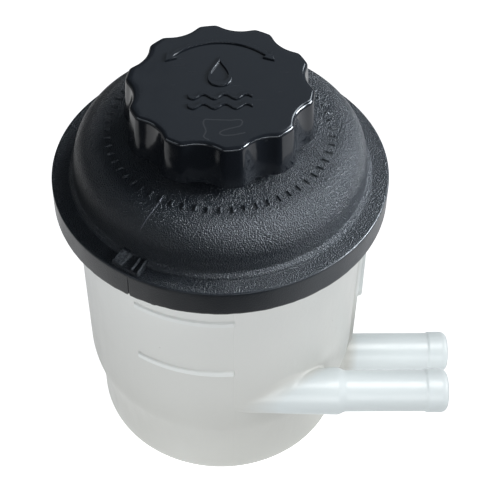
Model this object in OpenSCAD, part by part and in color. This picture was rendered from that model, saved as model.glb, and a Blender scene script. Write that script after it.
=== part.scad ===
// Remote reservoir for power steering fluid: a translucent moulded tank with two hose spigots,
// a black domed cover welded round its rim, a ten-lobed screw cap and a filter inside.
// Millimetres. +Z is up, the origin is the centre of the tank's flat bottom, the spigots point to +X
// and the level ribs face -Y.

/* [Tank] */
// Height from the bottom to the weld face
tank_h = 104.7; // [98:0.1:120]
// Outer diameter of the wall just under the cover
tank_top_d = 92.4; // [91:0.2:95]
// Outer diameter of the wall where the lower shoulder starts
tank_low_d = 90.8; // [90:0.2:91.6]
// How far the sump is set in from the wall above it
sump_step = 3.2; // [2.4:0.1:4]
// Height at which the sump starts to widen into the shoulder
sump_z = 7.6; // [6.6:0.1:14]
// Radius of the shoulder where it bulges
shoulder_round = 25; // [15:1:35]
// Radius of the shoulder where it hollows into the sump
sump_round = 90; // [60:5:95]
// Radius of the bottom edge
bottom_round = 5.6; // [3:0.2:7]
// Wall thickness of the tank
tank_wall = 2.5; // [2:0.1:3]
// Thickness of the tank's weld flange
flange_t = 3.2; // [2.5:0.1:4]
// How far the weld flange reaches past the wall
flange_w = 4.3; // [3:0.1:7]

/* [Spigots] */
// Outer diameter of both spigots
spigot_d = 13.6; // [12:0.1:15]
// Bore of both spigots
spigot_bore = 9.4; // [8:0.1:10.4]
// How far the hose bead stands proud of the spigot
bead_h = 0.4; // [0.3:0.05:0.8]
// Length of the hose bead
bead_l = 6.8; // [5:0.1:9]
// Radius of the spigot's nose
nose_round = 2.6; // [1:0.1:3]
// Height of the return spigot's axis
return_z = 42.8; // [41:0.2:52]
// Distance from the tank's axis to the return spigot's end
return_reach = 74.2; // [66:0.1:90]
// How far the return spigot's thick root reaches from the tank's axis
root_reach = 38; // [34:0.5:42]
// Extra radius of the return spigot's root
root_step = 1; // [0.6:0.1:1.4]
// Height of the suction spigot's axis
suction_z = 14.2; // [10.6:0.1:15]
// Distance from the tank's axis to the suction spigot's end
suction_reach = 81.6; // [70:0.1:90]

/* [Level ribs and guide rail] */
// Height of the full mark
full_z = 86.6; // [76:0.1:92]
// Height of the low mark
low_z = 61.8; // [56:0.1:70]
// Height of each level rib
rib_h = 2.4; // [1.4:0.1:3]
// How far each level rib stands proud
rib_proud = 0.7; // [0.4:0.1:1.2]
// Angle from -Y at which the ribs start, towards -X
rib_start = 35; // [20:1:50]
// Angle from -Y at which the ribs end, at the mould's parting line
rib_end = 5; // [2:1:10]
// Width of the guide rail
rail_w = 12; // [8:0.5:16]
// How far the guide rail's face stands proud of the wall above the shoulder
rail_proud = 2.4; // [1.8:0.1:4]
// Height of the guide rail's lower end
rail_z = 52.6; // [45:0.1:70]
// Radius of the guide rail's lower corner
rail_round = 1.4; // [0.8:0.1:1.5]
// How far the shallow pad below the rail stands proud of the wall
pad_proud = 1.2; // [0.8:0.1:1.6]

/* [Cover] */
// Height of the rim
rim_h = 9.2; // [8:0.1:12]
// Thickness of the rim's plate over the weld face
rim_plate = 3.6; // [3:0.1:5]
// Thickness of the skirt outside the tank's flange
skirt_wall = 1.9; // [1.5:0.1:2.4]
// How far the dome's foot is set in from the tank's wall
dome_inset = 0.4; // [0:0.1:1.5]
// Height of the dome above the rim
dome_h = 17; // [14:0.2:22]
// Radius of the dome's shoulder
dome_round = 9.5; // [7:0.5:11]
// How much the dome's top rises from the shoulder to the neck
dome_crown = 1.2; // [0.6:0.1:2]
// Thickness of the dome
cover_wall = 2.4; // [2:0.1:2.8]
// Height of the raised ring round the dome's foot
foot_ring_h = 1; // [0.6:0.1:1.6]
// Width of the raised ring round the dome's foot
foot_ring_w = 1.6; // [1:0.1:2.2]
// Angle of the locating block from +X
block_angle = -123; // [-140:1:-100]
// Length of the locating block round the rim
block_l = 11; // [9:0.5:14]

/* [Neck and cap] */
// Outer diameter of the filler neck over its thread
neck_d = 45.8; // [44:0.2:48]
// Wall thickness of the neck
neck_wall = 3.1; // [2.4:0.1:3.6]
// Height of the neck above the dome
neck_h = 12.8; // [11:0.2:16]
// Clearance between the neck and the cap, all round
thread_gap = 0.3; // [0.2:0.05:0.5]
// Thickness of the cap's top
cap_top = 2.4; // [2:0.1:3.4]
// Wall of the cap where the finger grooves are deepest
cap_wall = 2.7; // [1.5:0.1:3]
// Depth of the finger grooves
groove_depth = 2.3; // [1.8:0.1:3]
// Number of lobes
lobes = 10; // [8:1:12]
// Share of each lobe's pitch that stays on the rim
lobe_share = 0.35; // [0.25:0.01:0.5]
// Extra radius of the cap at its lower edge
cap_draft = 0.6; // [0.2:0.1:1]
// Radius of the cap's top edge
cap_round = 1.2; // [0.6:0.1:1.6]
// Gap between the cap's lower edge and the dome
cap_gap = 2.2; // [1:0.1:3]
// Thickness of the cap's rubber ring
cap_seal_t = 1.8; // [1.2:0.1:3]
// Depth of the cap's inner ring
cap_ring_h = 4; // [2.5:0.5:6]

/* [Filter] */
// How far the filter's ledge lies below the start of the shoulder
ledge_drop = 4.5; // [3:0.1:5]
// Width of the filter's ledge
ledge_w = 1.7; // [1.4:0.1:1.9]
// Thickness of the rubber ring on the ledge
filter_seal_t = 1.2; // [0.8:0.1:2]
// Thickness of the filter's plates
plate_t = 2; // [1.5:0.1:3]
// Height of the pleated sleeve
media_h = 38; // [30:1:46]
// Outer diameter of the pleated sleeve
media_d = 48; // [42:0.5:52]
// Outer diameter of the support tube
core_d = 30.4; // [28:0.2:34]
// Wall of the support tube
core_wall = 2; // [1.5:0.1:2.5]
// Number of pleats
pleats = 36; // [24:1:48]
// Thickness of the pleated sheet
media_t = 0.6; // [0.4:0.1:0.9]
// Slots round the support tube
slot_columns = 8; // [6:1:10]
// Rows of slots
slot_rows = 3; // [2:1:4]
// Diameter of the relief port
port_d = 12; // [8:0.5:14]
// Diameter of the relief valve's disc
disc_d = 17; // [15.5:0.5:19]
// Thickness of the relief valve's disc
disc_t = 1.2; // [0.8:0.1:2]
// Fitted length of the relief valve's spring
spring_l = 12; // [10:0.5:15]
// Diameter of the spring, at the middle of its wire
spring_d = 12.6; // [11:0.2:13.4]
// Diameter of the spring's wire
wire_d = 0.9; // [0.7:0.1:1.2]
// Turns of the spring
spring_turns = 5; // [4:1:6]

/* [Hidden] */
$fn = 96;

// Clearance between pieces that slip into each other
slip = 0.3;
// How far one shape of a piece reaches into the next, so that they join
bite = 0.5;
// How far a cut runs past the surface it opens
past = 1;

// Tank radii and heights
top_r = tank_top_d / 2;
low_r = tank_low_d / 2;
sump_r = low_r - sump_step;
flange_r = top_r + flange_w;
rim_r = flange_r + slip + skirt_wall;
rail_reach = low_r + rail_proud;
spigot_r = spigot_d / 2;
root_r = spigot_r + root_step;
return_y = spigot_r - low_r;
part_x = 8;
root_x = 2;
pad_w = rail_w + 4;

// The shoulder is two arcs that meet on one slant: it bulges first, then hollows into the sump
shoulder_turn = acos(1 - sump_step / (shoulder_round + sump_round));
meet_z = sump_z + sump_round * sin(shoulder_turn);
meet_r = low_r - shoulder_round * (1 - cos(shoulder_turn));
shoulder_z = meet_z + shoulder_round * sin(shoulder_turn);
ledge_z = shoulder_z - ledge_drop;
ledge_r = low_r - tank_wall - ledge_w;

// Cover heights, from the weld face up
rim_top = tank_h + rim_plate;
rim_bottom = rim_top - rim_h;
dome_r = top_r - dome_inset;
dome_top = rim_top + dome_h;
dome_lean = 0.5;
neck_r = neck_d / 2;
neck_bore_r = neck_r - neck_wall;
neck_top = dome_top + neck_h;

// Cap radii and heights
cap_bore_r = neck_r + thread_gap;
cap_r = cap_bore_r + cap_wall + groove_depth;
cap_roof = neck_top + cap_seal_t;
cap_z = cap_roof + cap_top;
cap_bottom = dome_top + cap_gap;
cap_ring_r = neck_bore_r - 4 * slip;
cap_ring_wall = 1.7;

// One finger groove is a circle through both edges of the groove and its deepest point
lobe_pitch = 360 / lobes;
groove_half = lobe_pitch * (1 - lobe_share) / 2;
groove_edge = cap_r * sin(groove_half);
groove_sag = cap_r * cos(groove_half) - (cap_r - groove_depth);
groove_r = (pow(groove_edge, 2) + pow(groove_sag, 2)) / (2 * groove_sag);
lobe_turn = 25.4;

// Filter heights, from the ledge up
plate_r = low_r - tank_wall - slip;
base_z = ledge_z + filter_seal_t;
media_z = base_z + plate_t;
top_z = media_z + media_h;
media_r = media_d / 2;
core_r = core_d / 2;
core_bore_r = core_r - core_wall;
socket_h = 3;
socket_wall = 1.6;
spring_z = top_z - disc_t - spring_l;
spider_t = 1.8;
spring_sides = 8;
spring_steps = 14;

// The outside corner of a quarter round, centred on the round's centre, below and right of it
module corner_below(r) {
    difference() {
        translate([0, -r - past]) square([r + past, r + past]);
        circle(r = r);
    }
}

// The outside corner of a quarter round, above and right of its centre
module corner_above(r) {
    mirror([0, 1]) corner_below(r);
}

// A cylinder along +X from x0 to x1
module rod_x(r, x0, x1) {
    translate([x0, 0, 0]) rotate([0, 90, 0]) cylinder(r = r, h = x1 - x0);
}

// A flat ring between two radii
module ring(r_out, r_in, h) {
    difference() {
        cylinder(r = r_out, h = h);
        translate([0, 0, -past]) cylinder(r = r_in, h = h + 2 * past);
    }
}

// Outside of the tank's section: sump, rounded shoulder, drafted wall and weld flange
module tank_outline() {
    difference() {
        square([sump_r, sump_z + bite]);
        translate([sump_r - bottom_round, bottom_round]) corner_below(bottom_round);
    }
    difference() {
        translate([0, sump_z]) square([meet_r, meet_z - sump_z]);
        translate([sump_r + sump_round, sump_z]) circle(r = sump_round);
    }
    intersection() {
        translate([0, meet_z - bite]) square([low_r, shoulder_z - meet_z + 2 * bite]);
        translate([low_r - shoulder_round, shoulder_z]) circle(r = shoulder_round);
    }
    polygon([[0, shoulder_z], [low_r, shoulder_z], [top_r, tank_h], [0, tank_h]]);
    translate([0, tank_h - flange_t]) square([flange_r, flange_t]);
}

// Inside of the tank's section, with the flat ledge that carries the filter
module tank_hollow() {
    floor_round = bottom_round - tank_wall;
    difference() {
        polygon([[0, tank_wall], [sump_r - tank_wall, tank_wall], [sump_r - tank_wall, sump_z],
            [ledge_r, ledge_z], [ledge_r, ledge_z + bite], [0, ledge_z + bite]]);
        translate([sump_r - tank_wall - floor_round, bottom_round]) corner_below(floor_round);
    }
    polygon([[0, ledge_z], [low_r - tank_wall, ledge_z], [low_r - tank_wall, shoulder_z],
        [top_r - tank_wall, tank_h], [top_r - tank_wall, tank_h + past], [0, tank_h + past]]);
}

// A spigot from inside the wall to its beaded end, along +X
module spigot(x0, reach) {
    bead_r = spigot_r + bead_h;
    rod_x(spigot_r, x0, reach - nose_round);
    rotate([0, 90, 0]) rotate_extrude() difference() {
        union() {
            translate([0, reach - bead_l]) square([bead_r, bead_l]);
            polygon([[0, reach - bead_l - bead_h * 2], [spigot_r, reach - bead_l - bead_h * 2],
                [bead_r, reach - bead_l], [0, reach - bead_l]]);
        }
        translate([bead_r - nose_round, reach - nose_round]) corner_above(nose_round);
    }
}

// A cone along +X from radius r0 at x0 to radius r1 at x1
module cone_x(r0, r1, x0, x1) {
    translate([x0, 0, 0]) rotate([0, 90, 0]) cylinder(r1 = r0, r2 = r1, h = x1 - x0);
}

// The return spigot leaves the wall tangentially, out of a root that thickens slowly and then steps down
module return_spigot() {
    translate([0, return_y, return_z]) {
        spigot(part_x, return_reach);
        cone_x(spigot_r, root_r, root_x, root_reach);
        cone_x(root_r, spigot_r, root_reach, root_reach + 3 * root_step);
    }
}

// A raised level rib that follows the wall at height z
module level_rib(z) {
    wall_r = low_r + (top_r - low_r) * (z - shoulder_z) / (tank_h - shoulder_z);
    rotate([0, 0, -90 - rib_start]) rotate_extrude(angle = rib_start + rib_end)
        translate([wall_r - bite, z - rib_h / 2]) square([rib_proud + bite, rib_h]);
}

// The guide rail that a bracket slides onto, with a rounded lower corner
module guide_rail() {
    inner = low_r - tank_wall / 2;
    translate([0, rail_w / 2, 0]) rotate([90, 0, 0]) linear_extrude(rail_w) difference() {
        translate([inner, rail_z]) square([rail_reach - inner, tank_h - flange_t - rail_z]);
        translate([rail_reach - rail_round, rail_z + rail_round]) corner_below(rail_round);
    }
}

// The shallow pad under the rail: the wall itself, moved out by the pad's height
module rail_pad() {
    intersection() {
        translate([pad_proud, 0, 0]) rotate_extrude() tank_outline();
        translate([0, -pad_w / 2, suction_z]) cube([rail_reach, pad_w, tank_h - flange_t - suction_z]);
    }
}

module tank() {
    color("whitesmoke") difference() {
        union() {
            rotate_extrude() tank_outline();
            return_spigot();
            translate([0, 0, suction_z]) spigot(sump_r - 2 * tank_wall, suction_reach);
            level_rib(full_z);
            level_rib(low_z);
            guide_rail();
            rail_pad();
        }
        rotate_extrude() tank_hollow();
        translate([0, return_y, return_z]) rod_x(spigot_bore / 2, part_x, return_reach + past);
        translate([0, 0, suction_z])
            rod_x(spigot_bore / 2, sump_r - 2 * tank_wall, suction_reach + past);
    }
}

// Outside of the cover's section: rim, foot ring, dome and neck
module cover_outline() {
    rim_edge = 0.6;
    shoulder_r = dome_r - dome_lean;
    difference() {
        translate([0, rim_bottom]) square([rim_r, rim_h]);
        translate([rim_r - rim_edge, rim_top - rim_edge]) corner_above(rim_edge);
        translate([rim_r - rim_edge, rim_bottom + rim_edge]) corner_below(rim_edge);
    }
    difference() {
        translate([0, rim_bottom]) square([dome_r + foot_ring_w, rim_h + foot_ring_h]);
        translate([dome_r + foot_ring_w - foot_ring_h, rim_top]) corner_above(foot_ring_h);
    }
    difference() {
        polygon([[0, rim_top], [dome_r, rim_top], [shoulder_r, dome_top - dome_crown - dome_round],
            [shoulder_r, dome_top - dome_crown], [shoulder_r - dome_round, dome_top - dome_crown],
            [neck_r, dome_top], [0, dome_top]]);
        translate([shoulder_r - dome_round, dome_top - dome_crown - dome_round])
            corner_above(dome_round);
    }
    translate([0, rim_top]) square([neck_r, neck_top - rim_top]);
}

// Inside of the cover's section: channel for the weld flange, dome and neck bore
module cover_hollow() {
    shoulder_r = dome_r - dome_lean - cover_wall;
    hollow_round = dome_round - cover_wall;
    roof = dome_top - dome_crown - cover_wall;
    translate([0, rim_bottom - past]) square([flange_r + slip, tank_h - rim_bottom + past]);
    difference() {
        translate([0, rim_bottom]) square([shoulder_r, roof - rim_bottom]);
        translate([shoulder_r - hollow_round, roof - hollow_round]) corner_above(hollow_round);
    }
    translate([0, rim_top]) square([neck_bore_r, neck_top - rim_top + past]);
}

// Small stepped block on the rim that marks the cover's place: high step, recess and end ridge
module locating_block() {
    r0 = dome_r - bite;
    r1 = rim_r - 1;
    steps = [[0, 0.40, 2.6], [0.40, 0.78, 1.4], [0.78, 1, 2.2]];
    rotate([0, 0, block_angle]) for (s = steps)
        translate([r0, block_l * (s[0] - 0.5), rim_top - bite])
            cube([r1 - r0, block_l * (s[1] - s[0]), s[2] + bite]);
}

module cover() {
    color("#26282a") difference() {
        union() {
            rotate_extrude() cover_outline();
            locating_block();
        }
        rotate_extrude() cover_hollow();
    }
}

// Outside of the plain cap before its finger grooves are cut: drafted side and rounded top edge
module cap_blank() {
    rotate_extrude() difference() {
        polygon([[0, cap_bottom], [cap_r + cap_draft, cap_bottom], [cap_r, cap_z - cap_round],
            [cap_r, cap_z], [0, cap_z]]);
        translate([cap_r - cap_round, cap_z - cap_round]) corner_above(cap_round);
    }
}

// One finger groove: a round cutter that flares out at the top, so that the edge is rounded too
module finger_groove() {
    reach = cap_r - groove_depth + groove_r;
    translate([reach, 0, 0]) rotate_extrude() {
        polygon([[0, cap_bottom - past], [groove_r - cap_draft, cap_bottom - past],
            [groove_r, cap_z - cap_round], [groove_r, cap_z + past], [0, cap_z + past]]);
        difference() {
            translate([0, cap_z - cap_round]) square([groove_r + cap_round, cap_round + past]);
            translate([groove_r + cap_round, cap_z - cap_round]) circle(r = cap_round);
        }
    }
}

module cap() {
    color("#17181a") {
        difference() {
            cap_blank();
            for (i = [0 : lobes - 1])
                rotate([0, 0, lobe_turn + (i + 0.5) * lobe_pitch]) finger_groove();
            translate([0, 0, cap_bottom - past])
                cylinder(r = cap_bore_r, h = cap_roof - cap_bottom + past);
        }
        translate([0, 0, cap_roof - cap_ring_h])
            ring(cap_ring_r, cap_ring_r - cap_ring_wall, cap_ring_h + cap_top / 2);
    }
}

module cap_seal() {
    color("dimgray") translate([0, 0, neck_top])
        ring(cap_bore_r - slip, cap_ring_r + slip, cap_seal_t);
}

module filter_seal() {
    color("dimgray") translate([0, 0, ledge_z])
        ring(plate_r, ledge_r + slip, filter_seal_t);
}

// The plate across the tank, with the rings that hold the sleeve and the support tube
module filter_base() {
    color("#3a3d40") translate([0, 0, base_z]) {
        ring(plate_r, core_bore_r - slip - socket_wall, plate_t);
        ring(media_r + slip + socket_wall, media_r + slip, plate_t + socket_h);
        ring(core_bore_r - slip, core_bore_r - slip - socket_wall, plate_t + socket_h);
    }
}

// The slotted support tube, with a pierced cross wall that carries the relief valve's spring
module filter_core() {
    slot_w = 4;
    drain_r = 2;
    drains = 6;
    slot_zone = spring_z - spider_t - media_z - 2 * socket_h;
    row_pitch = slot_zone / slot_rows;
    color("#3a3d40") difference() {
        union() {
            translate([0, 0, media_z]) ring(core_r, core_bore_r, media_h);
            translate([0, 0, spring_z - spider_t]) cylinder(r = core_bore_r + bite, h = spider_t);
        }
        for (k = [0 : drains - 1]) rotate([0, 0, k * 360 / drains])
            translate([core_bore_r - 1.7 * drain_r, 0, spring_z - 2 * spider_t])
                cylinder(r = drain_r, h = 3 * spider_t);
        for (row = [0 : slot_rows - 1], c = [0 : slot_columns - 1])
            rotate([0, 0, c * 360 / slot_columns])
            translate([0, -slot_w / 2, media_z + 1.5 * socket_h + row * row_pitch])
                cube([core_r + past, slot_w, row_pitch * 0.7]);
    }
}

// Outline of the folded sheet: inner and outer folds by turns, moved out or in by half its thickness
function pleat_points(shift) = [for (i = [0 : 2 * pleats - 1])
    let (r = (i % 2 == 0 ? media_r - media_t : core_r + slip + media_t) + shift, a = i * 180 / pleats)
    [r * cos(a), r * sin(a)]];

module filter_media() {
    color("#d8cfae") translate([0, 0, media_z]) linear_extrude(media_h) difference() {
        polygon(pleat_points(media_t));
        polygon(pleat_points(-media_t));
    }
}

// The closing plate, with the relief port in its middle
module filter_top() {
    outer_r = media_r + slip + socket_wall;
    color("#3a3d40") {
        translate([0, 0, top_z]) ring(outer_r, port_d / 2, plate_t);
        translate([0, 0, top_z - socket_h]) ring(outer_r, media_r + slip, socket_h + plate_t / 2);
        translate([0, 0, top_z - socket_h])
            ring(core_bore_r - slip, core_bore_r - slip - socket_wall, socket_h + plate_t / 2);
    }
}

module bypass_disc() {
    color("silver") translate([0, 0, top_z - disc_t]) cylinder(d = disc_d, h = disc_t);
}

// Points round the wire where it has made the share t of all its turns
function wire_ring(t) = let (
        coil_h = spring_l - wire_d,
        a = 360 * spring_turns * t,
        z = spring_z + wire_d / 2 + coil_h * t)
    [for (k = [0 : spring_sides - 1]) let (
            b = 360 * k / spring_sides,
            r = spring_d / 2 + wire_d / 2 * cos(b))
        [r * cos(a), r * sin(a), z + wire_d / 2 * sin(b)]];

module bypass_spring() {
    rings = spring_turns * spring_steps;
    points = [for (i = [0 : rings]) each wire_ring(i / rings)];
    sides = [for (i = [0 : rings - 1], k = [0 : spring_sides - 1]) let (
            k2 = (k + 1) % spring_sides,
            a = i * spring_sides,
            b = a + spring_sides)
        [a + k, b + k, b + k2, a + k2]];
    first = [for (k = [0 : spring_sides - 1]) k];
    last = [for (k = [0 : spring_sides - 1]) rings * spring_sides + spring_sides - 1 - k];
    color("silver") polyhedron(points, concat([first], sides, [last]));
}

tank();
cover();
cap();
cap_seal();
filter_seal();
filter_base();
filter_core();
filter_media();
filter_top();
bypass_disc();
bypass_spring();
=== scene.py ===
# Remote reservoir for power steering fluid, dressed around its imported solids. Metres, +Z up.
import math

import bmesh
import bpy
import numpy as np
from mathutils import Matrix, Vector


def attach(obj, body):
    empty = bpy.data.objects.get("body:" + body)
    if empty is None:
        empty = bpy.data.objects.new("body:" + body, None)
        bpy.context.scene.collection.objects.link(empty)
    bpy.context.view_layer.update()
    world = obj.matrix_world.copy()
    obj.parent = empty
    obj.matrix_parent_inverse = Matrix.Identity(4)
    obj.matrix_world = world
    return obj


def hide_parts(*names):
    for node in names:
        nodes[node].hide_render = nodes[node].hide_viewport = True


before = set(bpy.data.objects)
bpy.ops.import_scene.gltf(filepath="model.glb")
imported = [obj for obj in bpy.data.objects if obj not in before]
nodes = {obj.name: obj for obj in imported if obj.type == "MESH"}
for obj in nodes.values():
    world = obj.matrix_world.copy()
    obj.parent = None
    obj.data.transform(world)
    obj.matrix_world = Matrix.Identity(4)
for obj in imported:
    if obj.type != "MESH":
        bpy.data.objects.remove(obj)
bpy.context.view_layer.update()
mm = 0.001

# The studio: a pale light table in a dim cool room, a low key box on the right and dimmer boxes for the
# lid, other boxes for the tank, and black cards that only reflections see. The camera stands in front
# and well above with a long lens, its frame moved a little to the right to give the spigots room.
photo_px = 480
lens_px = 1384.4
axis_px = 220.6
look_down = math.radians(47.275)
camera_roll = math.radians(-0.29)
camera_place = Vector((0.0, -310.85, 410.98)) * mm


def flat_board(name, low_x, low_y, high_x, high_y, z):
    corners = [(low_x, low_y, z), (high_x, low_y, z), (high_x, high_y, z), (low_x, high_y, z)]
    mesh = bpy.data.meshes.new(name)
    mesh.from_pydata(corners, [], [(0, 1, 2, 3)])
    board = bpy.data.objects.new(name, mesh)
    bpy.context.scene.collection.objects.link(board)
    return mesh


floor_mesh = flat_board("table_top", -6.0, -6.0, 6.0, 6.0, 0)
card_z = 0.001
cards = {"front_card": (-0.25, -0.80, 0.80, -0.12), "right_card": (0.27, -0.14, 0.80, 0.60),
         "back_card": (-0.80, 0.27, 0.27, 0.60), "left_card": (-0.80, -0.80, -0.25, 0.27)}
card_meshes = [flat_board(name, *corners, card_z) for name, corners in cards.items()]
for name in cards:
    bpy.data.objects[name].visible_camera = False

bpy.context.scene.view_settings.view_transform = "Standard"
surround = bpy.data.worlds.new("white surround")
bpy.context.scene.world = surround
surround.use_nodes = True
dim = surround.node_tree.nodes["Background"].inputs
dim["Color"].default_value = (0.74, 0.86, 1.0, 1)
dim["Strength"].default_value = 0.09


def soft_box(name, place, target, width, height, watts, color=(1.0, 1.0, 1.0)):
    lamp = bpy.data.lights.new(name, "AREA")
    lamp.shape = "RECTANGLE"
    lamp.size = width
    lamp.size_y = height
    lamp.energy = watts
    lamp.color = color
    lamp_object = bpy.data.objects.new(name, lamp)
    lamp_object.location = place
    lamp_object.rotation_euler = (Vector(target) - Vector(place)).to_track_quat("-Z", "Y").to_euler()
    bpy.context.scene.collection.objects.link(lamp_object)
    lit = bpy.data.collections.new("lit by " + name)
    lamp_object.light_linking.receiver_collection = lit
    return lit


cool = (0.84, 0.92, 1.0)
cooler = (0.80, 0.90, 1.0)
lid_light = [soft_box("key box", (0.70, 0.05, 0.42), (0, 0, 0.10), 0.42, 0.26, 16.0, cool),
             soft_box("front strip", (0.05, -0.80, 0.36), (0, 0, 0.12), 0.90, 0.10, 2.2, cool),
             soft_box("top box", (0.42, 0.40, 0.68), (0, 0, 0.12), 0.35, 0.35, 3.5, cool),
             soft_box("edge strip", (0.50, -0.50, 0.42), (0, 0, 0.12), 0.60, 0.012, 1.4, cool),
             soft_box("left box", (-0.62, -0.30, 0.50), (0, 0, 0.12), 0.45, 0.30, 0.7, cooler),
             soft_box("back box", (0.30, 0.80, 0.95), (0, 0, 0.10), 0.90, 0.70, 0.6, cooler)]
tank_light = [soft_box("fill box", (-0.25, -0.90, 0.28), (0, 0, 0.06), 1.4, 0.5, 7.6),
              soft_box("side box", (0.80, 0.10, 0.30), (0, 0, 0.05), 0.6, 0.5, 4.0),
              soft_box("pipe box", (0.15, -0.10, 0.95), (0, 0, 0.05), 0.5, 0.4, 6.5)]

camera = bpy.data.cameras.new("camera")
camera.sensor_width = 36
camera.lens = lens_px / photo_px * camera.sensor_width
camera.shift_x = (photo_px / 2 - axis_px) / photo_px
camera.clip_start = 0.01
camera_object = bpy.data.objects.new("camera", camera)
camera_object.matrix_world = (
    Matrix.Translation(camera_place)
    @ Matrix.Rotation(math.pi / 2 - look_down, 4, "X")
    @ Matrix.Rotation(camera_roll, 4, "Z"))
bpy.context.scene.collection.objects.link(camera_object)
bpy.context.scene.camera = camera_object


# Every finish is built from a few shader nodes that read the piece's own coordinates, in metres.
def add(tree, kind, inputs=None, **settings):
    made = tree.nodes.new(kind)
    for key, value in settings.items():
        setattr(made, key, value)
    for key, value in (inputs or {}).items():
        if isinstance(value, bpy.types.NodeSocket):
            tree.links.new(value, made.inputs[key])
        else:
            made.inputs[key].default_value = value
    return made


def new_finish(name, color, roughness, **sockets):
    made = bpy.data.materials.new(name)
    made.use_nodes = True
    shader = made.node_tree.nodes["Principled BSDF"]
    shader.inputs["Base Color"].default_value = (*color, 1)
    shader.inputs["Roughness"].default_value = roughness
    for key, value in sockets.items():
        shader.inputs[key.replace("_", " ")].default_value = value
    place = add(made.node_tree, "ShaderNodeTexCoord").outputs["Object"]
    return made, made.node_tree, shader, place


def noise(tree, place, scale, detail=3.0, roughness=0.55):
    return add(tree, "ShaderNodeTexNoise", {
        "Vector": place, "Scale": scale, "Detail": detail, "Roughness": roughness}).outputs["Fac"]


def span(tree, value, low, high, to_low=0.0, to_high=1.0):
    return add(tree, "ShaderNodeMapRange", {
        "Value": value, "From Min": low, "From Max": high,
        "To Min": to_low, "To Max": to_high}).outputs["Result"]


def calc(tree, operation, *values, **settings):
    inputs = dict(enumerate(values))
    return add(tree, "ShaderNodeMath", inputs, operation=operation, **settings).outputs[0]


def vector_calc(tree, operation, *values, output="Vector"):
    inputs = dict(enumerate(values))
    return add(tree, "ShaderNodeVectorMath", inputs, operation=operation).outputs[output]


def round_axis(tree, place):
    # The position seen from above, the distance from the axis and the height
    parts = add(tree, "ShaderNodeSeparateXYZ", {"Vector": place}).outputs
    plan = add(tree, "ShaderNodeCombineXYZ", {"X": parts["X"], "Y": parts["Y"]}).outputs[0]
    return plan, vector_calc(tree, "LENGTH", plan, output="Value"), parts["Z"]


def blend_colors(tree, share, first, second):
    made = add(tree, "ShaderNodeMix", data_type="RGBA")
    for value, socket in ((share, made.inputs[0]), (first, made.inputs[6]), (second, made.inputs[7])):
        if isinstance(value, bpy.types.NodeSocket):
            tree.links.new(value, socket)
        else:
            socket.default_value = (*value, 1)
    return made.outputs[2]


def bump(tree, shader, height, distance, strength=1.0, below=None):
    inputs = {"Height": height, "Distance": distance, "Strength": strength}
    if below is not None:
        inputs["Normal"] = below
    made = add(tree, "ShaderNodeBump", inputs).outputs["Normal"]
    tree.links.new(made, shader.inputs["Normal"])
    return made


def new_group(name, outputs):
    group = bpy.data.node_groups.new(name, "ShaderNodeTree")
    group.interface.new_socket("Position", in_out="INPUT", socket_type="NodeSocketVector")
    for label in outputs:
        group.interface.new_socket(label, in_out="OUTPUT", socket_type="NodeSocketFloat")
    return group, group.nodes.new("NodeGroupInput").outputs["Position"], group.nodes.new("NodeGroupOutput")


# Shared effect 1: the grain that spark erosion leaves in a mould and the mould leaves in the plastic.
grain, grain_place, grain_out = new_group("spark grain", ["Height"])
pits = add(grain, "ShaderNodeTexVoronoi", {"Vector": grain_place, "Scale": 2100.0}).outputs["Distance"]
crumbs = noise(grain, grain_place, 3000.0, 2.0, 0.6)
grain.links.new(calc(grain, "ADD", pits, crumbs), grain_out.inputs["Height"])

# Shared effect 2: what hands and a workshop shelf leave on plastic, fine hairlines and dull rubbed clouds.
handling, handling_place, handling_out = new_group("handling", ["Hairlines", "Rubbed"])
hairlines = None
for turn in (0.5, 2.1, 3.9):
    laid = add(handling, "ShaderNodeMapping", {
        "Vector": handling_place, "Rotation": (0.2, 0.1, turn), "Scale": (70.0, 4200.0, 300.0)}).outputs[0]
    streak = span(handling, noise(handling, laid, 1.0, 1.0), 0.77, 0.83)
    hairlines = streak if hairlines is None else calc(handling, "MAXIMUM", hairlines, streak)
rubbed = span(handling, noise(handling, handling_place, 85.0, 4.0), 0.42, 0.68)
handling.links.new(hairlines, handling_out.inputs["Hairlines"])
handling.links.new(rubbed, handling_out.inputs["Rubbed"])


def group_outputs(tree, group, place):
    made = tree.nodes.new("ShaderNodeGroup")
    made.node_tree = group
    tree.links.new(place, made.inputs["Position"])
    return made.outputs


opal, tree, shader, place = new_finish(
    "lit opal sheet", (0.88, 0.88, 0.88), 0.6, Emission_Color=(1.0, 1.0, 1.0, 1.0))
bump(tree, shader, noise(tree, place, 900.0, 4.0), 0.00003)
seen = add(tree, "ShaderNodeLightPath").outputs["Is Camera Ray"]
tree.links.new(span(tree, seen, 0.0, 1.0, 0.70, 1.10), shader.inputs["Emission Strength"])
floor_mesh.materials.append(opal)
card, tree, shader, place = new_finish("black card", (0.01, 0.01, 0.01), 0.9)
bump(tree, shader, noise(tree, place, 1500.0, 3.0), 0.00003)
for mesh in card_meshes:
    mesh.materials.append(card)


# The tank: one moulding in milky polypropylene, with a sump, a soft shoulder, two raised level ribs
# that end at the mould's parting line, a guide rail and two hose spigots. Its skin is one turned grid
# whose radius swells where a rib, the rail or the pad below it stands proud.
def smooth(value, low, high):
    t = np.clip((np.asarray(value, float) - low) / (high - low), 0, 1)
    return t * t * (3 - 2 * t)


def arc(cx, cz, radius, start, stop, count):
    turns = np.radians(np.linspace(start, stop, count))
    return [(cx + radius * math.cos(t), cz + radius * math.sin(t)) for t in turns]


def line(a, b, count):
    return [(a[0] + (b[0] - a[0]) * t, a[1] + (b[1] - a[1]) * t) for t in np.linspace(0, 1, count)]


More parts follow.
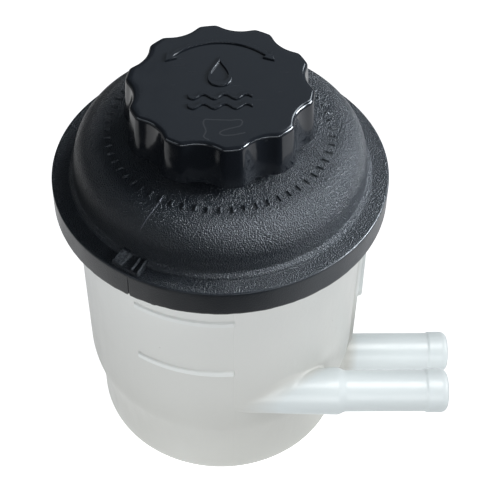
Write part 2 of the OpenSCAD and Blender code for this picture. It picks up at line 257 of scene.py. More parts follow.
def turned(profile, degrees, shape=None):
    radius = np.array([p[0] for p in profile])[:, None] + np.zeros(len(degrees))
    height = np.array([p[1] for p in profile])[:, None] + np.zeros(len(degrees))
    around = np.zeros((len(profile), 1)) + np.asarray(degrees)
    if shape:
        radius, height = shape(radius, height, around)
    turn = np.radians(around)
    return np.stack([radius * np.cos(turn), radius * np.sin(turn), height], axis=2)


def grid_faces(points, wrap, keep=None):
    rows, cols = points.shape[:2]
    faces = []
    for r in range(rows - 1):
        for c in range(cols if wrap else cols - 1):
            d = (c + 1) % cols
            corners = (r * cols + c, r * cols + d, (r + 1) * cols + d, (r + 1) * cols + c)
            if keep is None or keep(points.reshape(-1, 3)[list(corners)].mean(axis=0)):
                faces.append(corners)
    return faces


join_gap = 0.000004


def new_piece(name, grids, finish, body, replaced, crease, extra=()):
    shape = bmesh.new()
    for points, wrap, keep in grids:
        corners = [shape.verts.new(p * mm) for p in points.reshape(-1, 3)]
        for face in grid_faces(points, wrap, keep):
            shape.faces.new([corners[i] for i in face])
    bmesh.ops.remove_doubles(shape, verts=shape.verts, dist=join_gap)
    bmesh.ops.dissolve_degenerate(shape, edges=shape.edges, dist=join_gap / 4)
    bmesh.ops.recalc_face_normals(shape, faces=shape.faces)
    for other in extra:
        shape.from_mesh(other)
    mesh = bpy.data.meshes.new(name)
    shape.to_mesh(mesh)
    shape.free()
    mesh.shade_smooth()
    mesh.set_sharp_from_angle(angle=math.radians(crease))
    mesh.materials.append(finish)
    made = bpy.data.objects.new(name, mesh)
    bpy.context.scene.collection.objects.link(made)
    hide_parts(replaced)
    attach(made, body)
    for lit in tank_light if replaced == "tank" else lid_light:
        lit.objects.link(made)


tank_h = 104.7
top_r = 46.2
low_r = 45.4
sump_r = 42.2
shoulder_z = 34.54
sump_z = 7.6
edge_r = 5.6
sweep_r = 90.0
shoulder_r = 25.0
shoulder_turn = math.degrees(math.acos(1 - (low_r - sump_r) / (sweep_r + shoulder_r)))
ledge_r = 41.2
ledge_z = 30.04
wall = 2.5
flange_r = 50.5
flange_z = 101.5
full_z = 86.6
low_z = 61.8
rib_from = -125.0
rib_to = -85.0
seams = (rib_to, rib_to + 180)
rib_proud = 0.7
seam_proud = 0.05
rail_x = 47.8
rail_z = 52.6
rail_round = 1.4
pad_proud = 1.2
spigot_r = 6.8
root_r = 7.8
bead_r = 7.2
bore_r = 4.7
return_y = spigot_r - low_r
return_z = 42.8
return_end = 74.2
suction_z = 14.2
suction_end = 81.6

rib_rows = [-1.4, -1.25, -1.1, -0.95, -0.8, -0.4, 0, 0.4, 0.8, 0.95, 1.1, 1.25, 1.4]
wall_heights = sorted(set(
    [round(z, 2) for z in np.arange(36, 100.6, 1.9)]
    + [full_z + d for d in rib_rows] + [low_z + d for d in rib_rows]
    + [rail_z + d for d in (-0.4, -0.1, 0, 0.15, 0.35, 0.6, 0.9, 1.4, 2.0)]))


def wall_radius(z):
    return low_r + (top_r - low_r) * (np.asarray(z, float) - shoulder_z) / (tank_h - shoulder_z)


def tank_swell(radius, height, around):
    side = np.sin(np.radians(around)) * radius
    # The two level ribs and the two ends of the parting line
    rib = smooth(around, rib_from - 0.5, rib_from + 0.4) * (1 - smooth(around, rib_to - 0.4, rib_to + 0.5))
    for level in (full_z, low_z):
        radius = radius + rib_proud * rib * (1 - smooth(abs(height - level), 0.8, 1.3))
    for seam in seams:
        radius = radius + seam_proud * (1 - smooth(abs(around - seam), 0.05, 0.32))
    # The pad and the flat-faced rail with its rounded lower corner, on the side of the spigots
    east = abs((around + 180) % 360 - 180) < 20
    pad = np.where(east, 1 - smooth(abs(side), 7.0, 8.0), 0) * smooth(height, 5.0, 12.0)
    padded = radius + pad_proud * pad
    corner = np.clip(rail_round - (height - rail_z), 0, rail_round)
    face_x = rail_x - rail_round + np.sqrt(rail_round ** 2 - corner ** 2)
    face = face_x / np.maximum(np.cos(np.radians(around)), 0.3)
    rail = np.where(east, 1 - smooth(abs(side), 5.7, 6.05), 0) * smooth(height, rail_z - 0.15, rail_z + 0.1)
    return padded + np.maximum(face - padded, 0) * rail, height


sides = [math.degrees(math.asin(s * y / low_r)) for s in (-1, 1)
         for y in (5.0, 5.5, 5.7, 5.8, 5.9, 6.0, 6.1, 6.5, 6.9, 7.2, 7.5, 7.8, 8.1)]
tank_degrees = sorted(set(
    [float(a) for a in np.arange(-180, 180, 2)] + sides
    + [rib_from + d for d in (-0.6, -0.4, -0.2, 0, 0.2, 0.5)]
    + [seam + d for seam in seams for d in (-0.6, -0.35, -0.2, -0.07, 0.07, 0.2, 0.35, 0.6)]))
outside = (
    [(0.01, 0), (12, 0), (24, 0), (sump_r - edge_r, 0)]
    + arc(sump_r - edge_r, edge_r, edge_r, -85, 0, 11)
    + arc(sump_r + sweep_r, sump_z, sweep_r, 180, 180 - shoulder_turn, 16)
    + arc(low_r - shoulder_r, shoulder_z, shoulder_r, -shoulder_turn, 0, 7)[1:]
    + [(float(wall_radius(z)), z) for z in wall_heights]
    + arc(top_r + 0.75, flange_z - 0.8, 0.8, 180, 90, 5)
    + [(flange_r - 0.4, flange_z), (flange_r, flange_z + 0.4)]
    + [(flange_r, tank_h - 0.3), (flange_r - 0.3, tank_h)])
inside = (
    [(top_r - wall, tank_h), (top_r - wall, tank_h - 0.01)]
    + line((top_r - wall, tank_h - 2), (low_r - wall, shoulder_z), 36)
    + [(low_r - wall, ledge_z), (ledge_r, ledge_z)]
    + line((ledge_r, ledge_z - 0.14), (sump_r - wall, sump_z), 14)
    + arc(sump_r - edge_r, edge_r, edge_r - wall, 0, -90, 6) + [(20, wall), (0.01, wall)])


def outside_bores(p):
    in_return = p[0] > 8 and math.hypot(p[1] - return_y, p[2] - return_z) < bore_r + 1
    in_suction = p[0] > 0 and math.hypot(p[1], p[2] - suction_z) < bore_r + 1
    return not in_return and not in_suction


def barrel_rows(first, end):
    bead = end - 6.8
    nose = 2.6
    step = bead_r - spigot_r
    rows = [(x, spigot_r) for x in np.linspace(first, bead - 1.0, 6)]
    rows += [(bead - 0.9 + t, spigot_r + step * float(smooth(t, 0, 1))) for t in np.linspace(0.1, 1, 6)]
    rows += [(x, bead_r) for x in np.linspace(bead + 0.6, end - nose, 4)]
    rows += [(end - nose + nose * math.sin(t), bead_r - nose + nose * math.cos(t))
             for t in np.radians(np.linspace(9, 87, 10))]
    return rows


def bore_rows(end, last):
    return [(end - 0.05, bore_r), (end - 0.6, bore_r)] + [(x, bore_r) for x in np.linspace(end - 4, last, 12)]


fillet_count = 9
pipe_count = 49


def wall_at(x):
    # The wall's place beside the return spigot, across from its middle
    return -math.sqrt(float(wall_radius(return_z)) ** 2 - x * x) - return_y


def root_fillet(x, radius, fillet):
    # One side of the root's section at x: the fillet between the wall and the spigot's circle
    offset = wall_at(x) - fillet
    rise = math.sqrt(max((radius + fillet) ** 2 - offset ** 2, 0.0))
    first = math.atan2(rise, offset)
    sweep = np.linspace(0, math.atan2(-rise, -offset), fillet_count)
    across, up = offset + fillet * np.cos(sweep), rise + fillet * np.sin(sweep)
    drift = wall_radius(return_z + rise) - wall_radius(return_z)
    across = across - (drift - 0.03) * np.linspace(1, 0, fillet_count)
    if rise < fillet and offset > 0:
        shut = offset - math.sqrt(fillet ** 2 - rise ** 2)
        lost = (up < 0) | (across > offset)
        across, up = np.where(lost, shut, across), np.where(lost, 0, up)
    return first, across, up


def return_skin():
    # The root swells slowly to x = 38 and steps down to the pipe: its fillet is wide above and narrow below
    rows = []
    for x in [*np.linspace(2.75, 9, 16), *np.linspace(10, 31, 18), *np.linspace(31.6, 37.6, 21)]:
        radius = spigot_r + (root_r - spigot_r) * (x - 2) / 36
        if x > 30 and radius + 0.7 < wall_at(x):
            rows.append((x, radius, None, None))
            continue
        late = float(smooth(x, 18, 29))
        above = root_fillet(x, radius, 8.0 - 7.3 * late)
        below = root_fillet(x, radius, 0.5 + 0.2 * late)
        rows.append((x, radius, above, below))
    collar = [(x, root_r - float(smooth(x, 37.8, 41.0))) for x in np.linspace(38, 41.2, 9)]
    for x, radius in collar + barrel_rows(43, return_end) + bore_rows(return_end, 9):
        rows.append((x, radius, None, None))
    points = []
    for x, radius, above, below in rows:
        if above is None:
            turn = np.linspace(0, math.tau, pipe_count)[1:-1]
            shut_y, shut_z = np.full(fillet_count, radius), np.zeros(fillet_count)
            y = np.concatenate([shut_y, radius * np.cos(turn), shut_y])
            z = np.concatenate([shut_z, radius * np.sin(turn), shut_z])
        else:
            turn = np.linspace(above[0], math.tau - below[0], pipe_count)[1:-1]
            y = np.concatenate([above[1], radius * np.cos(turn), below[1][::-1]])
            z = np.concatenate([above[2], radius * np.sin(turn), -below[2][::-1]])
        points.append(np.stack([np.full(len(y), x), y + return_y, z + return_z], axis=1))
    return np.array(points)


def suction_skin():
    # The fillet starts on the sump's wall, just inside it, and the barrel follows
    fillet = 1.5
    turn = np.radians(np.linspace(0, 360, 64, endpoint=False))
    over, up = np.cos(turn), np.sin(turn)
    rows = []
    for lean in np.radians(np.linspace(0, 90, 8)):
        reach = spigot_r + fillet * (1 - math.sin(lean))
        y, z = reach * over, suction_z + reach * up
        swept = sump_r + sweep_r - np.sqrt(sweep_r ** 2 - np.clip(z - sump_z, 0, 22) ** 2)
        tucked = edge_r - np.sqrt(edge_r ** 2 - np.clip(edge_r - z, 0, 5) ** 2)
        swept = swept - np.where(z < edge_r, tucked, 0)
        radius = tank_swell(swept, z, np.degrees(np.arcsin(y / swept)))[0]
        x = np.sqrt(radius ** 2 - y ** 2) + fillet * (1 - math.cos(lean)) - 0.04
        rows.append(np.stack([x, y, z], axis=1))
    for x, radius in barrel_rows(48, suction_end) + bore_rows(suction_end, 39):
        rows.append(np.stack([np.full(len(turn), x), radius * over, suction_z + radius * up], axis=1))
    return np.array(rows)


milky, tree, shader, place = new_finish("milky polypropylene", (0.62, 0.64, 0.63), 0.34, IOR=1.49)
clouds = noise(tree, place, 22.0, 2.0)
reach, height = round_axis(tree, place)[1:]
drafted = span(tree, height, shoulder_z * mm, tank_h * mm, low_r * mm, top_r * mm)
raised = calc(tree, "SUBTRACT", reach, drafted)
# Painted shade: the wall darkens in clouds towards the bottom; the top under the rim stays lighter as painted
# light
painted_low_shade = calc(tree, "MULTIPLY", span(tree, clouds, 0.35, 0.7, 0.85), span(tree, height, 0.092, 0.03))
tint = blend_colors(tree, painted_low_shade, (0.73, 0.745, 0.73), (0.48, 0.485, 0.458))
# Painted highlight: the ribs and the rail above the root are tinted lighter than the wall
above_root = span(tree, height, 0.053, 0.056)
painted_relief_highlight = calc(tree, "MULTIPLY", span(tree, raised, 0.0002, 0.0007), above_root)
tint = blend_colors(tree, painted_relief_highlight, tint, (0.74, 0.765, 0.755))
# Painted light: the spigots, the root and the rail are lifted out of the wall's painted shade into one even,
# cooler colour
tint = blend_colors(tree, span(tree, raised, 0.0005, 0.004), tint, (0.60, 0.65, 0.66))
specks = add(tree, "ShaderNodeTexVoronoi", {"Vector": place, "Scale": 95.0}).outputs["Distance"]
tint = blend_colors(tree, span(tree, specks, 0.012, 0.03, 0.55, 0.0), tint, (0.30, 0.28, 0.24))
tree.links.new(tint, shader.inputs["Base Color"])
flow = add(tree, "ShaderNodeMapping", {"Vector": place, "Scale": (260.0, 260.0, 60.0)}).outputs[0]
tree.links.new(span(tree, noise(tree, flow, 1.0, 3.0), 0.3, 0.7, 0.28, 0.40), shader.inputs["Roughness"])
peel = bump(tree, shader, noise(tree, place, 420.0, 2.0), 0.00006)
wear = group_outputs(tree, handling, place)
bump(tree, shader, wear["Hairlines"], -0.00001, 1.0, peel)

new_piece(
    "tank_shell",
    [(turned(outside, tank_degrees, tank_swell), True, outside_bores),
     (turned([(flange_r - 0.3, tank_h)] + inside, tank_degrees), True, outside_bores),
     (return_skin(), False, None),
     (suction_skin(), True, None)],
    milky, "reservoir", "tank", 32)

# The cover: black polypropylene with a fine spark-eroded grain, moulded in one with its rim, dome and
# threaded filler neck, and welded to the tank's flange inside the rim. A stepped block on the rim marks
# its place, above the joint line and a nick of flash. Its dome has raised ticks and a long scratch.
rim_r = 52.7
rim_top = 108.3
rim_bottom = 99.1
dome_r = 45.8
haunch_r = 35.8
haunch_z = 114.6
channel_r = 50.8
neck_root_r = 21.9
neck_bore_r = 19.8
neck_top = 138.1
thread_z = neck_top - 11.2
pitch = 4.0
block_from = -128.7
block_step = -124.4
block_to = -117.3
block_inner = 44.5
block_outer = 51.6
ridge_at = -124.5
fins_at = (-120.4, -118.0)
joint_at = -121.0
burr_at = -112.2


def block_height(around):
    edge = 0.5
    stepped = smooth(around, block_step, block_step + edge)
    first = smooth(around, block_from, block_from + edge) * (1 - stepped)
    second = stepped * (1 - smooth(around, block_to - edge, block_to))
    fins = sum(1 - smooth(abs(around - middle), 0.14, 0.40) for middle in fins_at)
    ridge = 1 - smooth(abs(around - ridge_at), 0.12, 0.40)
    return first * (2.3 + 0.3 * ridge) + second * (1.15 + 0.95 * np.clip(fins, 0, 1))


def cover_shape(radius, height, around):
    # The block: whatever of the rim and bead lies under it is lifted to its top
    within = (smooth(radius, block_inner, block_inner + 0.4)
              * (1 - smooth(radius, block_outer - 0.35, block_outer + 0.02)))
    scoop = np.where(around > -124.0, 0.35 * smooth(radius, 47.0, 51.0), smooth(radius, 46.0, 51.6))
    top = rim_top + np.maximum(block_height(around) - scoop, 0) * within
    on_top = (height >= rim_top - 0.02) & (height < rim_top + 3.2) & (radius > 44)
    height = np.where(on_top, np.maximum(height, top), height)
    # The joint line down the rim's wall, the nick under it and uneven flash along the lower edge
    rim_wall = radius > rim_r - 0.6
    line_depth = 0.16 * (1 - smooth(abs(around - joint_at), 0.05, 0.3))
    radius = np.where(rim_wall & (height < rim_top - 0.5), radius - line_depth, radius)
    low_edge = rim_wall & (height < rim_bottom + 0.7)
    nick = 0.75 * (1 - smooth(abs(around - joint_at + 0.25), 0.15, 0.5))
    turn = np.radians(around)
    waver = 0.09 * np.sin(turn * 37) * np.sin(turn * 11) + 0.05 * np.sin(turn * 83)
    burr = 0.3 * (1 - smooth(abs(around - burr_at), 0.3, 1.1))
    height = np.where(low_edge, height + nick + waver - burr, height)
    return radius, height


def male_thread(radius, height, around):
    turns = (height - thread_z) / pitch - around / 360
    offset = abs(turns - np.round(turns)) * pitch
    begun = smooth(height, neck_top - 11.0, neck_top - 9.5)
    ended = smooth(height, neck_top - 2.2, neck_top - 1.2)
    return radius + 0.9 * begun * (1 - ended) * (1 - smooth(offset, 0.35, 1.15)), height


cover_outside = (
    [(channel_r, tank_h), (channel_r, 99.7), (51.1, rim_bottom + 0.1), (51.5, rim_bottom)]
    + arc(rim_r - 0.5, rim_bottom + 0.5, 0.5, -90, 0, 5) + line((rim_r, 100.2), (rim_r, rim_top - 1.2), 5)
    + arc(rim_r - 0.5, rim_top - 0.5, 0.5, 0, 90, 6)
    + [(r, rim_top) for r in (51.8, 51.6, 51.5, 51.4, 51.3, 51.2, 51.0, 50.4, 49.8, 49.2, 48.7, 48.2)]
    + [(47.85, rim_top), (47.5, rim_top + 0.02)] + arc(46.2, rim_top, 1.15, 4, 75, 9)
    + arc(46.756, rim_top + 2.077, 1.0, 255, 184, 8)[1:] + [(dome_r - 0.07, rim_top + 2.7)]
    + line((dome_r - 0.1, rim_top + 3.3), (45.3, 114.5), 4)
    + arc(haunch_r, haunch_z, 9.5, 0, 84.7, 24) + line((36.0, 124.12), (24.6, 125.14), 9)
    + arc(neck_root_r + 1.0, 126.3, 1.0, -95, -180, 6))
neck_outside = ([(neck_root_r, z) for z in np.arange(126.5, neck_top - 0.7, 0.28)]
                + arc(neck_root_r - 0.6, neck_top - 0.6, 0.6, 0, 90, 5)
                + arc(neck_bore_r + 0.5, neck_top - 0.5, 0.5, 90, 180, 5))
cover_inside = (
    line((neck_bore_r, neck_top - 0.8), (neck_bore_r, 122.6), 5)
    + arc(neck_bore_r + 0.9, 122.6, 0.9, 180, 270, 5) + line((22, 121.7), (haunch_r, 121.7), 4)
    + arc(haunch_r, haunch_z, 7.1, 88, 0, 9) + [(42.9, 109), (42.9, tank_h), (channel_r, tank_h)])
cover_degrees = sorted(set(
    [float(a) for a in np.arange(-180, 180, 2)]
    + [float(round(a, 3)) for a in np.arange(block_from - 0.8, block_to + 0.8, 0.19)]
    + [joint_at + d for d in (-0.3, -0.12, 0, 0.12, 0.3)]
    + [burr_at + d for d in (-1.2, -0.6, 0, 0.6, 1.2)]))


# Repeats are laid round the axis by one set of Geometry Nodes
def copies_group():
    group = bpy.data.node_groups.new("copies round the axis", "GeometryNodeTree")
    sockets = {"Copy": "NodeSocketGeometry", "Count": "NodeSocketInt", "Finish": "NodeSocketMaterial"}
    for label, kind in sockets.items():
        group.interface.new_socket(label, in_out="INPUT", socket_type=kind)
    group.interface.new_socket("Ring", in_out="OUTPUT", socket_type="NodeSocketGeometry")
    given = group.nodes.new("NodeGroupInput").outputs
    points = add(group, "GeometryNodeMeshLine", {"Count": given["Count"], "Offset": (0, 0, 0)}, mode="OFFSET")
    share = calc(group, "DIVIDE", add(group, "GeometryNodeInputIndex").outputs[0], given["Count"])
    spin = add(group, "ShaderNodeCombineXYZ", {"Z": calc(group, "MULTIPLY", share, math.tau)})
    laid = add(group, "GeometryNodeInstanceOnPoints", {
        "Points": points.outputs[0], "Instance": given["Copy"], "Rotation": spin.outputs[0]})
    whole = add(group, "GeometryNodeRealizeInstances", {"Geometry": laid.outputs[0]})
    joined = add(group, "GeometryNodeMergeByDistance", {"Geometry": whole.outputs[0], "Distance": join_gap})
    dressed = add(group, "GeometryNodeSetMaterial", {
        "Geometry": joined.outputs[0], "Material": given["Finish"]})
    group.links.new(dressed.outputs[0], group.nodes.new("NodeGroupOutput").inputs[0])
    return group


copies = copies_group()


def ring_of(name, verts, faces, count, finish):
    mesh = bpy.data.meshes.new(name)
    mesh.from_pydata([Vector(v) * mm for v in verts], [], faces)
    host = bpy.data.objects.new(name, mesh)
    bpy.context.scene.collection.objects.link(host)
    modifier = host.modifiers.new("ring", "NODES")
    modifier.node_group = copies
    sockets = {item.name: item.identifier for item in copies.interface.items_tree if item.in_out == "INPUT"}
    modifier[sockets["Count"]] = count
    modifier[sockets["Finish"]] = finish
    made = bpy.data.meshes.new_from_object(host.evaluated_get(bpy.context.evaluated_depsgraph_get()))
    bpy.data.objects.remove(host)
    return made


soot = (0.008, 0.010, 0.013)
grained, tree, shader, place = new_finish("grained black polypropylene", soot, 0.42, IOR=1.55)
wear = group_outputs(tree, handling, place)
plan, reach, height = round_axis(tree, place)
scratch_bow = 0.86 * mm
scratch_from = Vector((-16.4, -28.4, 0.0)) * mm
along = Vector((-23.5, -37.7, 0.0)) * mm - scratch_from
across = Vector((-along.y, along.x, 0.0)).normalized()
from_start = vector_calc(tree, "SUBTRACT", plan, tuple(scratch_from))
run = vector_calc(tree, "DOT_PRODUCT", from_start, tuple(along / along.length_squared), output="Value")
aside = vector_calc(tree, "DOT_PRODUCT", from_start, tuple(across), output="Value")
middle = calc(tree, "SUBTRACT", run, 0.5)
from_middle = calc(tree, "MULTIPLY", middle, middle)
bowed = span(tree, from_middle, 0.0, 0.25, scratch_bow, 0.0)
away = calc(tree, "ABSOLUTE", calc(tree, "SUBTRACT", aside, bowed))
scratch = calc(tree, "MULTIPLY", span(tree, away, 0.00005, 0.00016, 1.0, 0.0),
               span(tree, from_middle, 0.12, 0.25, 1.0, 0.0))
dusty = blend_colors(tree, span(tree, wear["Rubbed"], 0.0, 1.0, 0.0, 0.5), soot, (0.015, 0.0165, 0.019))
# The block's top is paler in mottled patches
on_block = calc(tree, "MULTIPLY", span(tree, reach, 0.04655, 0.0468), span(tree, height, 0.1094, 0.1098))
block_pale_mottle = calc(tree, "MULTIPLY", on_block, span(tree, noise(tree, place, 1500.0, 3.0), 0.42, 0.60, 0.25))
block_mottled = blend_colors(tree, block_pale_mottle, dusty, (0.13, 0.133, 0.14))
tree.links.new(blend_colors(tree, scratch, block_mottled, (0.18, 0.18, 0.20)), shader.inputs["Base Color"])
tree.links.new(span(tree, wear["Rubbed"], 0.0, 1.0, 0.28, 0.40), shader.inputs["Roughness"])
etched = span(tree, reach, 0.0521, 0.0525, 1.0, 0.15)
pebbles = bump(tree, shader, group_outputs(tree, grain, place)["Height"], 0.00028, etched)
bump(tree, shader, scratch, -0.00005, 1.0, pebbles)

tick_x = 34.4
tick_z = 124.25
tick_corners = [(x, y, z) for z in (0.0, 0.5) for x, y in ((-1, -1), (1, -1), (1, 1), (-1, 1))]
tick = [(tick_x + x * (1.2 - z * 0.36), y * (0.46 - z * 0.6), tick_z + z - x * 0.1)
        for x, y, z in tick_corners]
tick_faces = [(4, 5, 6, 7), (0, 1, 5, 4), (1, 2, 6, 5), (2, 3, 7, 6), (3, 0, 4, 7)]
ticks = ring_of("dome_ticks", tick, tick_faces, 60, grained)

new_piece(
    "cover_shell",
    [(turned(cover_outside, cover_degrees, cover_shape), True, None),
     (turned([(neck_root_r, 126.3)] + neck_outside, list(np.arange(0, 360, 2.5)), male_thread), True, None),
     (turned([neck_outside[-1]] + cover_inside, list(np.arange(0, 360, 3))), True, None)],
    grained, "reservoir", "cover", 32, [ticks])

# The screw cap: moulded in glossy black plastic, with ten finger grooves between rounded lobes and a
# drafted side. Its top has raised marks of a drop over waves and a two-way arrow, and a dried smear.
# Inside are the thread that matches the neck and the ring that centres the rubber seal.
cap_r = 28.2
cap_z = 142.3
cap_bottom = 127.5
cap_bore_r = 23.2
cap_roof = 139.9
lobe_turn = 25.4
groove_r = 10.40
groove_x = 36.30
cap_draft = 1.15
lobe_pitch = 36
lobe_blend = 1.1
cap_degrees = np.arange(0, 360, 1.2)


def cap_outline(degrees, grow):
    def plain(degrees):
        away = np.radians((degrees - lobe_turn) % lobe_pitch - lobe_pitch / 2)
        reach = np.maximum(groove_r ** 2 - (groove_x * np.sin(away)) ** 2, 0)
        groove = np.where(reach > 0, groove_x * np.cos(away) - np.sqrt(reach), 99.0)
        share = np.clip(0.5 + 0.5 * (groove - cap_r) / lobe_blend, 0, 1)
        radius = groove * (1 - share) + cap_r * share - lobe_blend * share * (1 - share)
        turn = np.radians(degrees)
        return np.stack([radius * np.cos(turn), radius * np.sin(turn)], axis=1)

    here = plain(degrees)
    tangent = plain(degrees + 0.2) - plain(degrees - 0.2)
    normal = np.stack([tangent[:, 1], -tangent[:, 0]], axis=1)
    normal /= np.linalg.norm(normal, axis=1)[:, None]
    return here + normal * grow


def cap_skin():
    rows = []
    turn = np.radians(cap_degrees)
    edge = 1.25
    rim = cap_outline(cap_degrees, -edge)
    for share in (0.001, 0.25, 0.5, 0.7, 0.85, 0.95):
        rows.append([(x * share, y * share, cap_z) for x, y in rim])
    for lean in np.radians(np.linspace(0, 90, 9)):
        ring = cap_outline(cap_degrees, -edge + edge * math.sin(lean))
        rows.append([(x, y, cap_z - edge + edge * math.cos(lean)) for x, y in ring])
    for z in np.linspace(cap_z - edge - 1, cap_bottom + 0.5, 10):
        ring = cap_outline(cap_degrees, cap_draft * (cap_z - edge - z) / (cap_z - edge - cap_bottom))
        rows.append([(x, y, z) for x, y in ring])
    for lean in np.radians(np.linspace(20, 90, 4)):
        ring = cap_outline(cap_degrees, cap_draft - 0.5 * (1 - math.cos(lean)))
        rows.append([(x, y, cap_bottom + 0.5 - 0.5 * math.sin(lean)) for x, y in ring])
    inner = [(radius, z, 0.0) for radius, z in
             [(24.0, cap_bottom)] + arc(cap_bore_r + 0.5, cap_bottom + 0.5, 0.5, 250, 190, 4)]
    for z in np.arange(cap_bottom + 0.7, cap_roof - 0.3, 0.3):
        ends = smooth(z, cap_bottom + 0.8, cap_bottom + 2.0) * (1 - smooth(z, neck_top - 3.0, neck_top - 2.0))
        inner.append((cap_bore_r, z, 0.8 * ends))
    for radius, down in ((22.9, 0), (19.0, 0), (18.6, 0.4), (18.6, 3.7), (18.3, 4.0), (17.2, 4.0),
                         (16.9, 3.7), (16.9, 0.4), (16.4, 0), (8.0, 0), (0.02, 0)):
        inner.append((radius, cap_roof - down, 0.0))
    for radius, z, thread in inner:
        turns = (z - thread_z) / pitch - cap_degrees / 360 + 0.5
        offset = abs(turns - np.round(turns)) * pitch
        reach = radius - thread * (1 - smooth(offset, 0.2, 0.8))
        rows.append(list(zip(reach * np.cos(turn), reach * np.sin(turn), np.full(len(turn), z))))
    return np.array(rows)


mark_proud = 0.0007
mark_edge = 0.00016


def raised_mark(name, outlines):
    curve = bpy.data.curves.new(name, "CURVE")
    curve.dimensions = "2D"
    curve.fill_mode = "BOTH"
    curve.extrude = mark_proud / 2
    curve.bevel_depth = mark_edge
    curve.bevel_resolution = 2
    curve.offset = -mark_edge
    for outline in outlines:
        spline = curve.splines.new("POLY")
        spline.points.add(len(outline) - 1)
        for point, (x, y) in zip(spline.points, outline):
            point.co = (x * mm, y * mm, 0, 1)
        spline.use_cyclic_u = True
    host = bpy.data.objects.new(name, curve)
    bpy.context.scene.collection.objects.link(host)
    made = bpy.data.meshes.new_from_object(host.evaluated_get(bpy.context.evaluated_depsgraph_get()))
    bpy.data.objects.remove(host)
    made.transform(Matrix.Translation((0, 0, cap_z * mm)))
    return made


def two_way_arrow():
    middle, half, head, tip = 19.4, 0.7, 2.0, 10
    first, last = 42, 138

    def at(reach, degrees):
        return reach * math.cos(math.radians(degrees)), reach * math.sin(math.radians(degrees))

    def head_at(degrees, way):
        return [at(middle + head, degrees), at(middle, degrees + way * tip), at(middle - head, degrees)]

    outer = [at(middle + half, degrees) for degrees in np.linspace(first, last, 40)]
    inner = [at(middle - half, degrees) for degrees in np.linspace(last, first, 40)]
    return outer + head_at(last, 1) + inner + list(reversed(head_at(first, -1)))


def drop(scale):
    points = []
    for t in np.linspace(0, math.tau, 48, endpoint=False):
        points.append((5.2 * scale * math.sin(t) * math.sin(t / 2) ** 1.5, 5.4 + 6.6 * scale * math.cos(t)))
    return points


def wave(y):
    half = 0.65
    crest = [(x, y + math.sin(x * math.tau / 6.3)) for x in np.linspace(-9.5, 9.5, 50)]
    return [(x, z + half) for x, z in crest] + [(x, z - half) for x, z in reversed(crest)]


# The smear's edge is a chain of strokes: each is the distance, seen from above, to a line from one point
# to the next
smear_line = [
    (-3.1, -24.1), (-4.3, -23.3), (-4.7, -22.5), (-4.3, -21.6), (-4.0, -20.5), (-4.2, -19.3), (-4.6, -18.1),
    (-4.8, -16.9), (-4.6, -15.8), (-4.0, -15.4), (-2.3, -15.6), (-0.3, -15.7), (3.2, -15.9), (5.2, -15.6),
    (6.1, -15.8), (6.5, -16.6), (6.2, -17.8), (5.5, -18.5), (4.0, -19.0), (2.6, -19.4), (0.8, -20.2),
    (-0.0, -20.9), (-0.1, -21.5), (0.6, -22.1), (1.5, -22.3), (3.8, -22.1), (7.0, -21.2)]
stroke, stroke_place, stroke_out = new_group("stroke", ["Distance"])
for label in ("From", "To"):
    stroke.interface.new_socket(label, in_out="INPUT", socket_type="NodeSocketVector")
stroke_ends = stroke_place.node.outputs
whole = vector_calc(stroke, "SUBTRACT", stroke_ends["To"], stroke_ends["From"])
here = vector_calc(stroke, "SUBTRACT", stroke_place, stroke_ends["From"])
here = vector_calc(stroke, "MULTIPLY", here, (1.0, 1.0, 0.0))
along_it = vector_calc(stroke, "DOT_PRODUCT", here, whole, output="Value")
squared = vector_calc(stroke, "DOT_PRODUCT", whole, whole, output="Value")
share = calc(stroke, "DIVIDE", along_it, squared, use_clamp=True)
foot = add(stroke, "ShaderNodeVectorMath", {0: whole, "Scale": share}, operation="SCALE").outputs[0]
off_stroke = vector_calc(stroke, "DISTANCE", here, foot, output="Value")
stroke.links.new(off_stroke, stroke_out.inputs["Distance"])


def nearest_stroke(tree, place, points):
    nearest = None
    for start, end in zip(points, points[1:]):
        made = tree.nodes.new("ShaderNodeGroup")
        made.node_tree = stroke
        tree.links.new(place, made.inputs["Position"])
        made.inputs["From"].default_value = (start[0] * mm, start[1] * mm, 0)
        made.inputs["To"].default_value = (end[0] * mm, end[1] * mm, 0)
        away = made.outputs["Distance"]
        nearest = away if nearest is None else calc(tree, "MINIMUM", nearest, away)
    return nearest


jet = (0.008, 0.009, 0.011)
gloss, tree, shader, place = new_finish("glossy black plastic", jet, 0.12, IOR=1.5)
wear = group_outputs(tree, handling, place)
rubbed_dull = span(tree, wear["Rubbed"], 0.0, 1.0, 0.09, 0.19)
lined_dull = span(tree, wear["Hairlines"], 0.0, 1.0, 0.0, 0.25)
tree.links.new(calc(tree, "ADD", rubbed_dull, lined_dull), shader.inputs["Roughness"])
lined = blend_colors(tree, span(tree, wear["Hairlines"], 0.0, 1.0, 0.0, 0.7), jet, (0.03, 0.03, 0.032))
on_top = span(tree, round_axis(tree, place)[2], 0.1416, 0.1420)
smear_edge = span(tree, nearest_stroke(tree, place, smear_line), 0.00010, 0.00034, 1.0, 0.0)
smear = calc(tree, "MULTIPLY", smear_edge, on_top)
tree.links.new(blend_colors(tree, smear, lined, (0.022, 0.0225, 0.024)), shader.inputs["Base Color"])
swim = bump(tree, shader, noise(tree, place, 95.0, 2.0), 0.00012)
bump(tree, shader, wear["Hairlines"], -0.000008, 1.0, swim)

marks = [raised_mark("arrow mark", [two_way_arrow()]),
         raised_mark("drop mark", [drop(1.0), drop(0.70)]),
         raised_mark("wave marks", [wave(-5.4), wave(-9.6)])]
new_piece("cap_shell", [(cap_skin(), True, None)], gloss, "screw_cap", "cap", 40, marks)

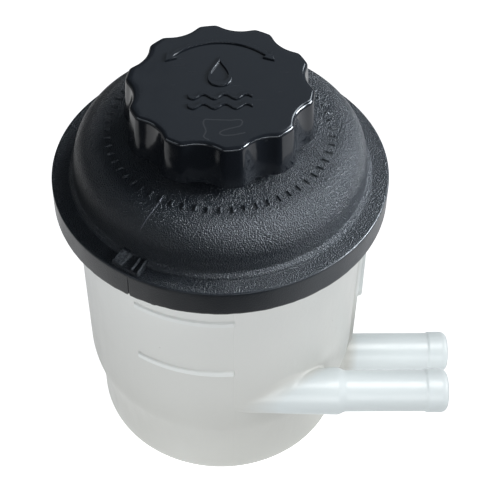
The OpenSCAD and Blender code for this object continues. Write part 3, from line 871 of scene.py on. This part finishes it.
# The rubber ring under the cap's roof and the one on the filter's ledge: black nitrile, cut from tube,
# matt and a little bloomed.
rubber, tree, shader, place = new_finish("black nitrile rubber", (0.022, 0.022, 0.022), 0.72, IOR=1.52)
bloom = noise(tree, place, 140.0, 4.0)
bloomed = blend_colors(
    tree, span(tree, bloom, 0.45, 0.75, 0.0, 0.6), (0.020, 0.020, 0.021), (0.060, 0.060, 0.057))
tree.links.new(bloomed, shader.inputs["Base Color"])
tree.links.new(span(tree, bloom, 0.3, 0.7, 0.62, 0.82), shader.inputs["Roughness"])
bump(tree, shader, noise(tree, place, 2600.0, 2.0), 0.00003)

# The filter: two plates and a slotted support tube in glass-filled nylon, dark grey and faintly mottled
# by its fibres.
nylon, tree, shader, place = new_finish("glass-filled nylon", (0.05, 0.053, 0.057), 0.5, IOR=1.53)
fibres = add(tree, "ShaderNodeMapping", {
    "Vector": place, "Rotation": (0.3, 0.2, 0.7), "Scale": (900.0, 5200.0, 1500.0)}).outputs[0]
mottle = noise(tree, fibres, 1.0, 2.0)
mottled = blend_colors(tree, span(tree, mottle, 0.4, 0.7), (0.045, 0.048, 0.052), (0.085, 0.088, 0.092))
tree.links.new(mottled, shader.inputs["Base Color"])
tree.links.new(span(tree, mottle, 0.35, 0.7, 0.42, 0.6), shader.inputs["Roughness"])
bump(tree, shader, mottle, 0.00003)

# The relief valve's disc and spring: plain spring steel, lapped flat on the disc and drawn and coiled on
# the wire. The spring stands in the support tube and holds the disc up under its port.
steel, tree, shader, place = new_finish("spring steel", (0.56, 0.56, 0.57), 0.3, Metallic=1.0)
lapped = add(tree, "ShaderNodeMapping", {"Vector": place, "Scale": (300.0, 6000.0, 3000.0)}).outputs[0]
lines = noise(tree, lapped, 1.0, 2.0)
tree.links.new(span(tree, lines, 0.3, 0.7, 0.2, 0.42), shader.inputs["Roughness"])
tempered = blend_colors(tree, noise(tree, place, 130.0, 3.0), (0.50, 0.50, 0.51), (0.62, 0.615, 0.60))
tree.links.new(tempered, shader.inputs["Base Color"])
bump(tree, shader, lines, 0.000006)

for name, finish in {"cap_seal": rubber, "filter_seal": rubber, "filter_base": nylon, "filter_core": nylon,
                     "filter_top": nylon, "bypass_disc": steel, "bypass_spring": steel}.items():
    nodes[name].data.materials.clear()
    nodes[name].data.materials.append(finish)
    for lit in lid_light:
        lit.objects.link(nodes[name])

# The pleated sleeve: resin-treated paper folded into 36 pleats with rounded folds, tanned by the fluid.
# One fold is made here and laid round the axis.
media_low = 33.24
media_high = 71.24
pleats = 36
media_inner = 16.2
media_outer = 23.3
half_sheet = 0.3

paper, tree, shader, place = new_finish("pleated filter paper", (0.60, 0.49, 0.30), 0.85, Sheen_Weight=0.2)
mesh_of_fibres = noise(tree, place, 1500.0, 4.0, 0.7)
stain = noise(tree, place, 70.0, 3.0)
stained = blend_colors(tree, span(tree, stain, 0.35, 0.7), (0.64, 0.54, 0.34), (0.44, 0.33, 0.18))
tree.links.new(stained, shader.inputs["Base Color"])
bump(tree, shader, mesh_of_fibres, 0.00008)


def fold():
    count = 25
    turns = np.linspace(-180 / pleats, 180 / pleats, count)
    sway = np.arcsin(0.94 * np.cos(np.radians(turns * pleats))) / math.asin(0.94)
    radius = (media_inner + media_outer) / 2 + (media_outer - media_inner - 2 * half_sheet) / 2 * sway
    x, y = radius * np.cos(np.radians(turns)), radius * np.sin(np.radians(turns))
    dx, dy = np.gradient(x), np.gradient(y)
    off_x, off_y = half_sheet * dy / np.hypot(dx, dy), half_sheet * dx / np.hypot(dx, dy)
    verts, faces = [], []
    for z, side in ((media_low, 1), (media_low, -1), (media_high, -1), (media_high, 1)):
        verts += list(zip(x + side * off_x, y - side * off_y, np.full(count, z)))
    for k in range(4):
        a, b = k * count, (k + 1) % 4 * count
        faces += [(a + i, a + i + 1, b + i + 1, b + i) for i in range(count - 1)]
    return verts, faces


sleeve_mesh = ring_of("pleated_sleeve", *fold(), pleats, paper)
new_piece("pleated_sleeve", [], paper, "reservoir", "filter_media", 60, [sleeve_mesh])
